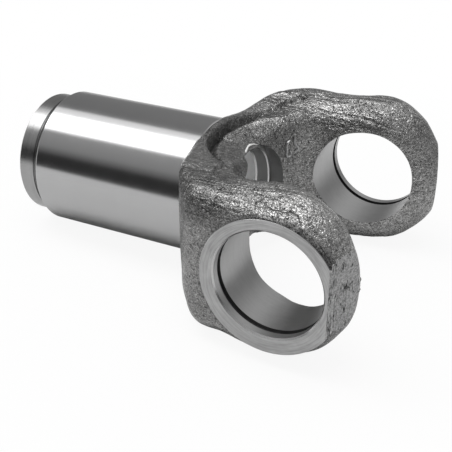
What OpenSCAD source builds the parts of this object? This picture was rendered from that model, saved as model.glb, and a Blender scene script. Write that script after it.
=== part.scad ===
// Slip yoke: a splined, ground barrel and a forged fork in one piece.
// X runs along the barrel towards the open end of the fork, Y through the
// two bearing bores, and the origin is where the two axes cross.

/* [Bearing bores] */
// Diameter of the bearing cup bores
cup_bore_d = 30.2; // [26:0.1:32]
// Distance between the machined outer faces of the ears
ear_span = 88.4; // [84:0.2:92]
// Distance between the inner edges of the two snap ring grooves
cup_seat_span = 80; // [76:0.2:80.8]
// Width of a snap ring groove
snap_groove_w = 1.7; // [1:0.1:2]
// Depth of a snap ring groove
snap_groove_depth = 1; // [0.5:0.1:1.6]
// Chamfer at the outer edge of a bearing bore
cup_chamfer = 0.4; // [0.2:0.1:0.8]

/* [Barrel] */
// Diameter of the ground barrel
barrel_d = 41.7; // [38:0.1:44]
// Distance from the bore axis to the shoulder where the forging begins
shoulder_x = 38.8; // [37:0.1:42]
// Distance from the bore axis to the far end of the ground barrel
barrel_x = 89.2; // [80:0.1:110]
// Diameter of the turned lip
lip_d = 37.9; // [34:0.1:40]
// Length of the turned lip, with the cone that leads up to the barrel
lip_length = 8.2; // [5:0.1:12]
// Axial length of the cone between the lip and the barrel
lead_in = 2.1; // [1:0.1:3]
// Fall of the bevel at the barrel's end by the fork
barrel_bevel = 0.5; // [0.2:0.1:0.8]
// Width of the relief groove beside the cone
relief_w = 0.6; // [0.4:0.1:1.2]
// Depth of the relief groove beside the cone
relief_depth = 0.3; // [0.2:0.1:0.6]
// Chamfer at the end of the lip
lip_chamfer = 0.6; // [0.3:0.1:1.2]

/* [Spline] */
// Number of spline teeth
spline_teeth = 26; // [20:1:30]
// Diameter over the tooth tips, the smallest of the splined bore
spline_tip_d = 25; // [23:0.1:25.6]
// Diameter at the bottom of the tooth spaces
spline_root_d = 27.2; // [26.4:0.1:27.4]
// Share of the pitch that a tooth space takes
spline_space = 0.52; // [0.45:0.01:0.56]
// Diameter of the plain bore at the mouth of the spline
mouth_d = 28.6; // [27.8:0.1:30]
// Depth of the plain bore at the mouth
mouth_depth = 10; // [5:0.5:20]
// Chamfer at the mouth
mouth_chamfer = 1.2; // [0.5:0.1:2]

/* [Crotch seat and plug] */
// Diameter of the clearance cut in the crotch
clearance_d = 30.4; // [30:0.1:36]
// Distance from the bore axis to the floor of the clearance cut
clearance_x = 26.2; // [25:0.1:28]
// Diameter of the plug and of its seat
plug_d = 27.6; // [27.5:0.1:29]
// Distance from the bore axis to the rim of the plug
plug_x = 30.6; // [29.5:0.1:32]
// Thickness of the plug
plug_thickness = 1.8; // [1:0.1:3]
// Height of the plug's dome over its rim
plug_dome = 0.8; // [0.4:0.1:1.4]

/* [Forged ears] */
// Distance of an ear's inner face from the middle, half-way up and behind the bore
ear_inner = 23.7; // [23:0.1:26]
// Sideways slope of an ear's inner face towards the tip
ear_inner_slope = 0.22; // [0.1:0.01:0.3]
// Forging draft of the inner faces, out from their middle line
ear_draft = 0.1; // [0:0.01:0.12]
// Greatest radius of the forged ear about the bore
ear_r = 23.8; // [22:0.1:26]
// Distance of the ear's rounded tip from the bore axis, before it is trimmed
ear_reach = 23.2; // [21.6:0.1:25]
// Rounding radius along the inner side of an ear
ear_round = 9.5; // [8:0.1:12]
// Distance from the face in to where the ear's outer slope begins
ear_slope_start = 6.5; // [4:0.1:9]
// Fall of the ear's outer slope towards the face
ear_slope = 0.62; // [0.4:0.01:0.8]
// Radius of the milled pad round the bearing bore
pad_r = 19.1; // [17.5:0.1:19.5]
// Height of the milled pad over the forged flank
pad_height = 0.5; // [0.2:0.1:1.5]
// Distance of the trimmed tip from the bore axis, at the machined face
tip_x = 16.2; // [15.9:0.1:18]
// Angle of the trimmed tip, in degrees
tip_angle = 25.5; // [15:0.5:30]
// How far the forging's mid-plane lies below the bore axis
forging_drop = 0.8; // [0:0.1:1.5]
// How far the mid-plane lies above the bore axis at the tips
tip_rise = 0.3; // [0:0.1:1]

/* [Forged base] */
// Distance from the bore axis to the front of the crotch
crotch_x = 24.4; // [24:0.1:26]
// Height of the crotch's rounded body over the forging's mid-plane
crotch_top = 17; // [15:0.1:18]
// Depth of the rounding along the front of the crotch
crotch_round = 8.5; // [6:0.1:10]
// Height of the raised rim over the forging's mid-plane, at its inner edge
rim_top = 20.3; // [19:0.1:21.5]
// Rise of the rim towards its outer side
rim_slope = 0.22; // [0:0.01:0.3]
// Radius of the rim's inner edge, seen from above
rim_r = 22.6; // [22:0.1:24]
// Width of the rounding along the arms' outer side
arm_round = 9.5; // [6:0.1:12]
// Width of that rounding on the underside
arm_round_low = 12; // [6:0.1:13]
// Height of the rounding along the arms' outer side
arm_round_h = 8; // [5:0.1:10]
// Rounding radius along the top of the shoulders, by the barrel
shoulder_round = 6; // [2:0.1:7]
// Rounding radius where the top of a shoulder turns into its arm
turn_round = 2.5; // [1.5:0.1:7]
// Rounding radius along the bottom of the shoulders
shoulder_round_low = 12; // [2:0.1:12]
// Angle of the shoulders to the barrel axis, in degrees
shoulder_angle = 62.7; // [55:0.5:68]
// Distance from the bore axis to where the shoulder planes would cross the barrel axis
shoulder_cross = 47.9; // [46:0.1:50]
// Fall of the arms' top towards the barrel, for each mm
arm_fall = 0.06; // [0:0.01:0.1]
// Rise of the arms' underside towards the barrel, for each mm
arm_rise = 0.09; // [0:0.01:0.15]

/* [Hidden] */

steel_forged = [0.36, 0.36, 0.36];
steel_turned = [0.72, 0.72, 0.73];

// Rounded turned surfaces
round_fn = 96;
// Overrun of a cut past the surface that it opens
over = 1;
// Stock that turning takes off the fork's back at the shoulder
shoulder_stock = 2.5;
// The barrel runs this far past the shoulder, where the fork is lower, and its
// bevel starts this far before it
barrel_past = 1;
bevel_before = 0.3;

cup_r = cup_bore_d / 2;
barrel_r = barrel_d / 2;
lip_r = lip_d / 2;
lip_end_x = barrel_x + lip_length;
face_y = ear_span / 2;
flank_y = face_y - pad_height;
slope_y = face_y - ear_slope_start;
fork_reach = max(ear_r, ear_reach) + 2 * over;
back_x = shoulder_x + shoulder_stock;

// Points of a station's line across its five zones: inner rounding, body, step
// to the rim, rim, outer rounding
zone_points = [7, 2, 4, 3, 6];
// Least width of a zone, and the least that is left outside the step
zone_gap = 0.4;
zone_margin = 1;
// Stations of the loft from the crotch's middle to the ear, and along the ear
base_stations = 18;
ear_stations = 15;
// The fan of base stations turns about this point
fan_x = -10;
// Middle of the arc that the rim's inner edge follows
rim_centre_x = -14;
// The ear's last station is this far short of its greatest radius
tip_margin = 1.6;
// Least half height and width of the ear's section towards the tip
edge_half = 2;
edge_width = 3;
// Where the zones end towards the tip, as shares of the width, and the range of
// x over which they come to that
tip_shares = [0, 0.3, 0.45, 0.65, 0.8, 1];
tip_range = [2, 14];
// Sharpness of the corners where the fork's back, shoulder and side meet
outline_power = 14;
// Sharpness of the crotch's outline
crotch_power = 2.3;
// Softness of the edge where the ear's outer slope begins
slope_soft = 3;
// Half height at which the inner rounding starts, in the crotch and at the ear
crotch_flat = 9;
ear_flat = ear_r - ear_round;
// Width of the step between the crotch's body and the rim
rim_step = 1.8;
// Shares of the fan over which the crotch grows into the ear
body_grow = [0.1, 0.95];
ear_blend = [0.5, 0.95];
// Shares of the fan over which the rounding by the barrel becomes the turn's
turn_grow = [0.3, 0.55];
// Shares of the fan over which the turn's rounding becomes the arm's, on top and
// below
round_grow = [0.55, 1];
round_grow_low = [0.1, 0.7];
// The arm's outer rounding is complete this far behind the bore
round_full_x = 12;
// The inner face starts to slope here
slope_from_x = -4;
// The mid-plane rises to the tip along the ear over this range
drop_out = [-8, 8];

function lerp(a, b, t) = a + (b - a) * t;
function ease(t) = t <= 0 ? 0 : t >= 1 ? 1 : t * t * (3 - 2 * t);
function between(t, span) = ease((t - span[0]) / (span[1] - span[0]));
// A ramp with a soft corner: 0 on one side, u on the other
function ramp(u, soft) = (u + sqrt(u * u + soft * soft)) / 2;
// Fall of a rounding w wide and h high, where u of its width is left
function round_fall(u, w, h) = u >= w ? 0 : h * (1 - sqrt(max(0, 1 - pow((w - u) / w, 2))));

// Distance of the crotch's inner outline from the fan point, in direction a
function crotch_reach(a) =
    let (back = -cos(a) / (crotch_x + fan_x), side = sin(a) / ear_inner)
    pow(pow(max(0, back), crotch_power) + pow(side, crotch_power), -1 / crotch_power);

// Distance of the fork's outer outline from the fan point, in direction a
function outline_reach(a) =
    let (
        back = -cos(a) / (back_x + fan_x),
        shoulder = (cos(shoulder_angle) * sin(a) - sin(shoulder_angle) * cos(a))
            / (sin(shoulder_angle) * (shoulder_cross + fan_x)),
        side = sin(a) / flank_y
    )
    pow(pow(max(0, back), outline_power) + pow(shoulder, outline_power)
        + pow(side, outline_power), -1 / outline_power);

// Distance of the rim's inner edge from the fan point, in direction a
function rim_reach(a) =
    let (offset = fan_x - rim_centre_x)
    -offset * cos(a) + sqrt(rim_r * rim_r - offset * offset * sin(a) * sin(a));

// Fall of the ear's outer slope at y
function slope_fall(y) = ear_slope * ramp(y - slope_y, slope_soft);

// Fall of the outer side at x and y, where u of the width is left
function outer_fall(x, y, u, w, h) =
    let (e = min(1, pow(min(0, x) / round_full_x, 2)))
    lerp(slope_fall(y), round_fall(u, w, h), e);

// Half height of the ear's section before its outer side falls, d from its inner side
function ear_height(d, x, fall) =
    ear_r + fall * min(0, x) - round_fall(d, ear_round, ear_round);

// Half height of the base's section before its outer side falls
function base_height(d, depth, rim_from, s) =
    let (
        flat = lerp(crotch_flat, ear_flat, between(s, body_grow)),
        top = lerp(crotch_top, ear_r, between(s, body_grow)),
        body = top - round_fall(d, depth, top - flat),
        rim = rim_top + rim_slope * max(0, d - rim_from)
    )
    lerp(body, max(body, rim), ease((d - rim_from) / rim_step + 0.5));

// Where a station's zones end, from its inner side, for its width
function zone_ends(width, depth, rim_from, round_w) =
    let (
        step = max(depth + zone_gap, rim_from - rim_step / 2),
        rim = min(step + rim_step, width - zone_margin),
        edge = max(rim + zone_gap, width - round_w)
    )
    [0, depth, min(step, width - zone_margin - zone_gap), rim, edge, width];

// Distances of a station's points, closer together where the surface bends more
function stops(ends) = concat([0], [
    for (zone = [0:4]) for (i = [1:zone_points[zone]])
        let (
            t = i / zone_points[zone],
            u = zone == 0 ? 1 - cos(90 * t) : zone == 4 ? sin(90 * t) : t
        )
        lerp(ends[zone], ends[zone + 1], u)
]);

// Line along the base's station at angle a of the fan, as [x, y, half height]
function base_line(a, corner, turn, round_w, grow, fall) =
    let (
        s = (180 - a) / 90,
        inner = crotch_reach(a),
        width = outline_reach(a) - inner,
        blend = between(s, ear_blend),
        turned = lerp(corner, turn, between(s, turn_grow)),
        grown = between(s, grow),
        w = lerp(turned, round_w, grown),
        h = lerp(turned, arm_round_h, grown),
        depth = lerp(crotch_round, ear_round, blend),
        rim_from = max(rim_reach(a) - inner, depth + (1 + rim_step) / 2),
        slope_d = slope_y - ear_inner,
        ends = lerp(zone_ends(width, depth, rim_from, w),
            zone_ends(width, depth, slope_d - rim_step, width - slope_d), blend)
    )
    [for (d = stops(ends))
        let (x = fan_x + (inner + d) * cos(a), y = (inner + d) * sin(a))
        [x, y, lerp(base_height(d, depth, rim_from, s), ear_height(d, x, fall), blend)
            - outer_fall(x, y, width - d, w, h)]];

// Inner face of an ear at x
function inner_y(x) = ear_inner + ear_inner_slope * max(0, x - slope_from_x);

// Line along the ear's station at x
function ear_line(x, round_w, fall) =
    let (
        along = max(0, x) * ear_r / ear_reach,
        reach = x > 0 ? sqrt(along * along + edge_half * edge_half) : 0,
        from = reach <= ear_flat ? 0
            : ear_round - sqrt(ear_round * ear_round - pow(reach - ear_flat, 2)),
        y0 = inner_y(x) + from,
        drop = (ear_r - reach) / ear_slope,
        y1 = min(flank_y, slope_y + drop - slope_soft * slope_soft / (4 * drop)),
        width = max(edge_width, y1 - y0),
        whole = flank_y - inner_y(x),
        slope_d = slope_y - inner_y(x),
        ends = width * lerp(zone_ends(whole, ear_round, slope_d - rim_step, whole - slope_d) / whole,
            tip_shares, between(x, tip_range))
    )
    [for (d = stops(ends))
        let (
            y = y0 + d,
            r = ear_height(y - inner_y(x), x, fall) - outer_fall(x, y, flank_y - y, round_w, arm_round_h)
        )
        [x, y, x > 0 ? sqrt(max(edge_half * edge_half, r * r - along * along)) : r]];

// One ring of the loft from the line over its top and the line under its bottom,
// with a last point half-way up its inner side
function ring(line, low) =
    let (last = len(line) - 1)
    concat(
        [for (i = [0:last]) place(line[i], 1, 1 - i / last)],
        [for (i = [last:-1:0]) place(low[i], -1, 1 - i / last)],
        [place(line[0], 0, 1)]
    );
// A point of a ring on its upper or lower side, with its share of the draft
function place(p, side, share) = [
    p[0],
    p[1] + share * ear_draft * abs(side) * p[2] * min(1, p[1] / ear_inner),
    side * p[2] + lerp(-forging_drop, tip_rise, between(p[0], drop_out))
];

function base_ring(a) = ring(
    base_line(a, shoulder_round, turn_round, arm_round, round_grow, arm_fall),
    base_line(a, shoulder_round_low, shoulder_round_low, arm_round_low, round_grow_low, arm_rise)
);
function ear_ring(x) = ring(
    ear_line(x, arm_round, arm_fall),
    ear_line(x, arm_round_low, arm_rise)
);

function half_rings() = concat(
    [for (i = [1:base_stations]) base_ring(180 - 90 * i / base_stations)],
    [for (i = [1:ear_stations]) ear_ring(lerp(fan_x, ear_reach - tip_margin, sin(90 * i / ear_stations)))]
);

function mirrored(r) = [for (p = r) [p[0], -p[1], p[2]]];

// Closed skin over a list of rings that all have as many points
module skin(rings) {
    n = len(rings[0]);
    m = len(rings);
    points = [for (r = rings) each r];
    sides = [for (i = [0:m - 2]) for (j = [0:n - 1])
        let (
            a = i * n + j,
            b = i * n + (j + 1) % n,
            c = (i + 1) * n + (j + 1) % n,
            d = (i + 1) * n + j
        )
        each [[a, b, c], [a, c, d]]];
    last = (m - 1) * n;
    quads = [for (j = [0:(n - 5) / 2])
        let (a = j, b = j + 1, c = n - 3 - j, d = n - 2 - j)
        each [[d, c, b, a], [last + a, last + b, last + c, last + d]]];
    corners = [[n - 1, n - 2, 0], [last, last + n - 2, last + n - 1]];
    polyhedron(points, concat(sides, quads, corners), convexity = 6);
}

// The fork as it leaves the forging dies, tip to tip round the crotch
module raw_fork() {
    half = half_rings();
    last = len(half) - 1;
    skin(concat(
        [for (i = [last:-1:0]) mirrored(half[i])],
        [base_ring(180)],
        half
    ));
}

// Stock turned off the fork's back, round the barrel
module shoulder_cut() {
    rotate([0, 90, 0]) rotate_extrude($fn = round_fn) polygon([
        [barrel_r - over, -shoulder_x],
        [ear_span, -shoulder_x],
        [ear_span, -back_x - over],
        [barrel_r - over, -back_x - over]
    ]);
}

// Milled pads round the bearing bores
module pads() {
    for (side = [-1, 1])
        translate([0, side * face_y, -forging_drop]) rotate([side * 90, 0, 0])
            cylinder(r = pad_r, h = pad_height + slope_soft, $fn = round_fn);
}

// Outside of the turned barrel and lip
module barrel_blank() {
    cone_x = barrel_x + lead_in;
    rotate([0, 90, 0]) rotate_extrude($fn = round_fn) polygon([
        [0, barrel_past - shoulder_x],
        [barrel_r - barrel_bevel, barrel_past - shoulder_x],
        [barrel_r, -shoulder_x - bevel_before],
        [barrel_r, -barrel_x],
        [lip_r, -cone_x],
        [lip_r - relief_depth, -cone_x],
        [lip_r - relief_depth, -cone_x - relief_w],
        [lip_r, -cone_x - relief_w],
        [lip_r, -lip_end_x + lip_chamfer],
        [lip_r - lip_chamfer, -lip_end_x],
        [0, -lip_end_x]
    ]);
}

// Everything that is bored from the crotch and from the mouth
module barrel_bores() {
    rotate([0, 90, 0]) {
        translate([0, 0, -clearance_x]) cylinder(d = clearance_d, h = clearance_x, $fn = round_fn);
        translate([0, 0, -plug_x - plug_thickness])
            cylinder(d = plug_d, h = plug_x + plug_thickness - clearance_x + over, $fn = round_fn);
        translate([0, 0, -lip_end_x - over])
            cylinder(d = spline_tip_d, h = lip_end_x - plug_x + over, $fn = round_fn);
        translate([0, 0, -lip_end_x - over]) cylinder(d = mouth_d, h = mouth_depth + over, $fn = round_fn);
        translate([0, 0, -lip_end_x]) rotate_extrude($fn = round_fn) polygon([
            [0, -over],
            [mouth_d / 2 + mouth_chamfer + over, -over],
            [mouth_d / 2, mouth_chamfer],
            [0, mouth_chamfer]
        ]);
    }
}

// Spaces between the spline teeth, from the mouth's bore to the plug's seat
module spline_spaces() {
    pitch = 360 / spline_teeth;
    root_half = pitch * spline_space / 4;
    tip_half = pitch * spline_space / 2;
    root_r = spline_root_d / 2;
    inside_r = spline_tip_d / 2 - over;
    from_x = -lip_end_x + mouth_depth - over / 2;
    translate([from_x, 0, 0]) rotate([0, 90, 0])
        linear_extrude(-plug_x - from_x) for (i = [0:spline_teeth - 1])
            rotate(i * pitch) polygon([
                [inside_r * cos(tip_half), -inside_r * sin(tip_half)],
                [root_r * cos(root_half), -root_r * sin(root_half)],
                [root_r * cos(root_half), root_r * sin(root_half)],
                [inside_r * cos(tip_half), inside_r * sin(tip_half)]
            ]);
}

// The bearing bores with their snap ring grooves and outer chamfers
module cup_bores() {
    rotate([90, 0, 0]) {
        cylinder(r = cup_r, h = ear_span + 2 * over, center = true, $fn = round_fn);
        for (side = [0, 180]) rotate([side, 0, 0]) {
            translate([0, 0, cup_seat_span / 2])
                cylinder(r = cup_r + snap_groove_depth, h = snap_groove_w, $fn = round_fn);
            translate([0, 0, face_y]) rotate_extrude($fn = round_fn) polygon([
                [0, -cup_chamfer],
                [cup_r, -cup_chamfer],
                [cup_r + cup_chamfer + over, over],
                [0, over]
            ]);
        }
    }
}

// Metal sheared off the ears' tips
module trimmed_tips() {
    block = 2 * fork_reach;
    for (side = [-1, 1])
        translate([tip_x, side * face_y, 0]) rotate([0, 0, side * tip_angle])
            translate([0, -block, -block]) cube([block, 2 * block, 2 * block]);
}

module yoke() {
    color(steel_forged) difference() {
        union() {
            difference() {
                raw_fork();
                shoulder_cut();
            }
            pads();
            barrel_blank();
        }
        barrel_bores();
        spline_spaces();
        cup_bores();
        trimmed_tips();
    }
}

// Domed sheet plug pressed into the crotch end of the spline
module bore_plug() {
    r = plug_d / 2;
    dome_r = (r * r + plug_dome * plug_dome) / (2 * plug_dome);
    color(steel_turned) translate([-plug_x - plug_thickness, 0, 0]) rotate([0, 90, 0])
        rotate_extrude($fn = round_fn) polygon(concat(
            [[0, 0], [r, 0]],
            [for (i = [0:8])
                let (q = r * (1 - i / 8))
                [q, plug_thickness + plug_dome - dome_r + sqrt(dome_r * dome_r - q * q)]]
        ));
}

yoke();
bore_plug();
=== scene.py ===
"""Slip yoke: the forged fork, its machined faces and the ground barrel, dressed for a studio shot.

Shapes are worked out in millimetres, in the frame of the solids: X towards the
open end of the fork, Y through the two bearing bores, Z up.
"""

import math

import bmesh
import bpy
import numpy as np
from mathutils import Matrix, Vector


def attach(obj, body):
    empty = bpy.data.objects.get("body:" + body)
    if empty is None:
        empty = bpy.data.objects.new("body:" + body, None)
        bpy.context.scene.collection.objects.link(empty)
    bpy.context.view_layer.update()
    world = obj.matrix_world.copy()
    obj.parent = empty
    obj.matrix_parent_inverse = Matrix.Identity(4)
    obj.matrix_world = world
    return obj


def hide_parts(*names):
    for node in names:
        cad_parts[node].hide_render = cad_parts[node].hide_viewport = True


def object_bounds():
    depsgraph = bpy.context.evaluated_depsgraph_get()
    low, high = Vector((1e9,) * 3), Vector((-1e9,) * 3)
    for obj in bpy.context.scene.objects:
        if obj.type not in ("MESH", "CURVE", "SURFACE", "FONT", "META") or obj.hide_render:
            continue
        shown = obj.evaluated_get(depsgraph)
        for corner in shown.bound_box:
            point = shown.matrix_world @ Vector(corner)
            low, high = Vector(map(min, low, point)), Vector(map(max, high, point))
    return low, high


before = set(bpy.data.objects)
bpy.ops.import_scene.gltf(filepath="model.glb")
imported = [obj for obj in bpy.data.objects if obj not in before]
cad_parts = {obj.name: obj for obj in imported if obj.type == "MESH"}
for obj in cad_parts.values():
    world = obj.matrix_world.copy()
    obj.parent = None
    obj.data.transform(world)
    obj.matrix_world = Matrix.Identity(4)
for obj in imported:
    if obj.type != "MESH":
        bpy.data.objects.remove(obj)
solid_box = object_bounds()

MM = 0.001


def placed(name, data):
    """An object with that data, in the scene."""
    made = bpy.data.objects.new(name, data)
    bpy.context.scene.collection.objects.link(made)
    return made


# The camera

VIEW_FROM = (75.135, -211.437, 116.283)
VIEW_RIGHT = (0.88853717, 0.45880464, 0.0)
VIEW_UP = (-0.21864111, 0.42342805, 0.87915002)
VIEW_AHEAD = (-0.40335811, 0.78115747, -0.47654511)
LENS, FILM_WIDTH, NEAREST = 69.76, 36.0, 0.01


def make_camera():
    """The viewing angle of the photograph, seen by a long lens from the near side."""
    data = bpy.data.cameras.new("camera")
    camera = placed("camera", data)
    turn = Matrix((Vector(VIEW_RIGHT), Vector(VIEW_UP), -Vector(VIEW_AHEAD))).transposed().to_4x4()
    camera.matrix_world = Matrix.Translation(Vector(VIEW_FROM) * MM) @ turn
    data.sensor_fit = "HORIZONTAL"
    data.sensor_width = FILM_WIDTH
    data.lens = LENS
    data.clip_start = NEAREST
    bpy.context.scene.camera = camera


make_camera()


# Sizes, as in the part's source

# Bearing bores, their milled faces and the ring grooves
CUP_R, FACE_Y, PAD_R, PAD_HEIGHT, CUP_CHAMFER = 15.1, 44.2, 19.1, 0.5, 0.4
CUP_SEAT, GROOVE_W, GROOVE_DEPTH = 40.0, 1.7, 1.0

# Barrel, its lip, and the splined bore
BARREL_R, SHOULDER_X, BARREL_X, LIP_R, LIP_LENGTH, LEAD_IN = 20.85, 38.8, 89.2, 18.95, 8.2, 2.1
RELIEF_W, RELIEF_DEPTH, LIP_CHAMFER = 0.6, 0.3, 0.6
TEETH, TOOTH_TIP_R, TOOTH_ROOT_R, TOOTH_SPACE = 26, 12.5, 13.6, 0.52
MOUTH_R, MOUTH_DEPTH, MOUTH_CHAMFER = 14.3, 10.0, 1.2

# Stepped seat in the crotch, and the plug in it
CLEARANCE_R, CLEARANCE_X = 15.2, 26.2
PLUG_R, PLUG_X, PLUG_THICKNESS, PLUG_DOME = 13.8, 30.6, 1.8, 0.8

# Ears and their sheared tips
EAR_INNER, EAR_INNER_SLOPE, EAR_DRAFT, EAR_R, EAR_REACH, EAR_ROUND = 23.7, 0.22, 0.1, 23.8, 23.2, 9.5
SLOPE_START, EAR_SLOPE, TIP_X, TIP_ANGLE = 6.5, 0.62, 16.2, 25.5
FORGING_DROP, TIP_RISE = 0.8, 0.3

# Crotch with its rim, arms and shoulder
CROTCH_X, CROTCH_TOP, CROTCH_ROUND, RIM_TOP, RIM_SLOPE, RIM_R = 24.4, 17.0, 8.5, 20.3, 0.22, 22.6
ARM_ROUND, ARM_ROUND_LOW, ARM_ROUND_H, ARM_FALL, ARM_RISE = 9.5, 12.0, 8.0, 0.06, 0.09
SHOULDER_ROUND, TURN_ROUND, SHOULDER_ROUND_LOW = 6.0, 2.5, 12.0
SHOULDER_ANGLE, SHOULDER_CROSS, SHOULDER_STOCK = 62.7, 47.9, 2.5

# Sizes that follow from them
FLANK_Y = FACE_Y - PAD_HEIGHT
SLOPE_Y = FACE_Y - SLOPE_START
BACK_X = SHOULDER_X + SHOULDER_STOCK
LIP_END = BARREL_X + LIP_LENGTH
EAR_FLAT = EAR_R - EAR_ROUND

# How the skin's stations stand, and how sharply its zones pass into each other
FAN_X, RIM_CENTRE_X, TIP_MARGIN, EDGE_HALF, EDGE_WIDTH = -10.0, -14.0, 1.6, 2.0, 3.0
OUTLINE_POWER, CROTCH_POWER, SLOPE_SOFT, CROTCH_FLAT, RIM_STEP = 14, 2.3, 3.0, 9.0, 1.3
SLOPE_BLEND_X, RISE_BLEND_X = 12, 8

# Points in each of a station's five zones, in the source and here, then down the flank and inside
SOURCE_POINTS = [7, 2, 4, 3, 6]
FINE_POINTS = [24, 18, 10, 10, 20]
FLANK_POINTS, INSIDE_POINTS = 34, 24
FAN_STATIONS, ARM_STATIONS, EAR_STATIONS = 96, 20, 50
SEGMENTS, PAD_SEGMENTS, BARREL_SEGMENTS = 224, 256, 288

# This forging's own forms, which the source leaves out
NEAR_REACH, TIP_WEAR = 20.6, 1.5
SKIN_GAP, FLANK_GAP, FLANK_SINK = 0.02, 0.03, 0.10
RIM_STREAKS = ((2.6, 0.35), (4.8, 0.35), (7.4, 0.15))
STREAK_W, SWELL_W, CREASE_W, CREASE_AT, RIM_CLEAR = 0.5, 3.5, 0.6, 0.9, 0.8
NEAR_FOOT, FAR_FOOT = (0.1, 1.2), (0.9, 0.9)


# Noise for the forged skin

NOISE_GAIN = 1.6


class Lumps:
    """Seeded gradient noise, about -1 to 1, over points in millimetres."""

    def __init__(self, seed):
        chance = np.random.default_rng(seed)
        self.order = chance.permutation(256)
        slopes = chance.normal(size=(256, 3))
        self.slopes = slopes / np.linalg.norm(slopes, axis=1, keepdims=True)

    def __call__(self, points, size):
        p = points / size
        cell = np.floor(p).astype(int)
        part = p - cell
        fade = part ** 3 * (part * (part * 6 - 15) + 10)
        total = np.zeros(len(p))
        for corner in range(8):
            step = np.array([corner & 1, corner >> 1 & 1, corner >> 2])
            c = (cell + step) & 255
            pick = self.order[(self.order[(self.order[c[:, 0]] + c[:, 1]) & 255] + c[:, 2]) & 255]
            weight = np.prod(np.where(step, fade, 1 - fade), axis=1)
            total += weight * np.sum(self.slopes[pick] * (part - step), axis=1)
        return total * NOISE_GAIN


def ease(t):
    """0 to 1 with soft ends."""
    t = np.clip(t, 0, 1)
    return t * t * (3 - 2 * t)


def between(t, start, end):
    """0 at start, 1 at end, soft between. Start may be the larger one."""
    return ease((t - start) / (end - start))


def mix(a, b, t):
    """From a at 0 to b at 1."""
    return a + (b - a) * t


# The forging, as it leaves the dies

def round_fall(u, w, h):
    """The drop of a rounding, w wide and h high, at distance u from its edge."""
    return np.where(u >= w, 0, h * (1 - np.sqrt(np.maximum(0, 1 - ((w - u) / w) ** 2))))


def slope_fall(y):
    """The drop of an ear's outer slope, which starts softly."""
    u = y - SLOPE_Y
    return EAR_SLOPE * (u + np.sqrt(u * u + SLOPE_SOFT ** 2)) / 2


def outer_fall(x, y, u, w, h):
    """The drop towards the outside: the slope over an ear, the rounding further back."""
    whole = np.minimum(1, (np.minimum(0, x) / SLOPE_BLEND_X) ** 2)
    return mix(slope_fall(y), round_fall(u, w, h), whole)


def ear_height(d, x, fall):
    """Half the height over an arm or ear, with its inner rounding."""
    return EAR_R + fall * np.minimum(0, x) - round_fall(d, EAR_ROUND, EAR_ROUND)


def base_height(d, depth, rim_from, s, near):
    """Half the height over the base: a body that swells towards the arm, then the stepped rim."""
    grow = between(s, 0.2 if near else 0.1, 0.95)
    flat, top = mix(CROTCH_FLAT, EAR_FLAT, grow), mix(CROTCH_TOP, EAR_R, grow)
    body = top - round_fall(d, depth, top - flat)
    foot = d - rim_from
    rim = RIM_TOP + RIM_SLOPE * np.maximum(0, foot)
    swell, crease = NEAR_FOOT if near else FAR_FOOT
    sweep = swell * np.exp(-(np.minimum(foot + 1, 0) / SWELL_W) ** 2)
    sweep -= crease * np.exp(-((foot + CREASE_AT) / CREASE_W) ** 2)
    for at, lift in RIM_STREAKS:
        sweep += lift * np.exp(-((foot + at) / STREAK_W) ** 2)
    sweep *= 1 - between(s, 0.5, 0.72)
    swept = np.minimum(body + sweep, RIM_TOP - RIM_CLEAR)
    return mix(swept, np.maximum(body, rim), ease(foot / RIM_STEP + 0.5))


def zone_ends(width, depth, rim_from, round_w):
    """Where a station's zones end: inner rounding, floor, rim's step, rim, outer rounding."""
    step = max(depth + 0.4, rim_from - RIM_STEP / 2)
    rim = min(step + RIM_STEP, width - 1)
    edge = max(rim + 0.4, width - round_w)
    return np.array([0, depth, min(step, width - 1.4), rim, edge, width])


def stops(ends):
    """Distances along a station, and each one's place in the source's count of points."""
    distance, place = [0.0], [0.0]
    start = 0
    for zone, count in enumerate(FINE_POINTS):
        t = np.arange(1, count + 1) / count
        u = 1 - np.cos(np.pi / 2 * t) if zone == 0 else np.sin(np.pi / 2 * t) if zone == 4 else t
        distance += list(mix(ends[zone], ends[zone + 1], u))
        place += list(start + t * SOURCE_POINTS[zone])
        start += SOURCE_POINTS[zone]
    return np.array(distance), np.array(place) / start


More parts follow.
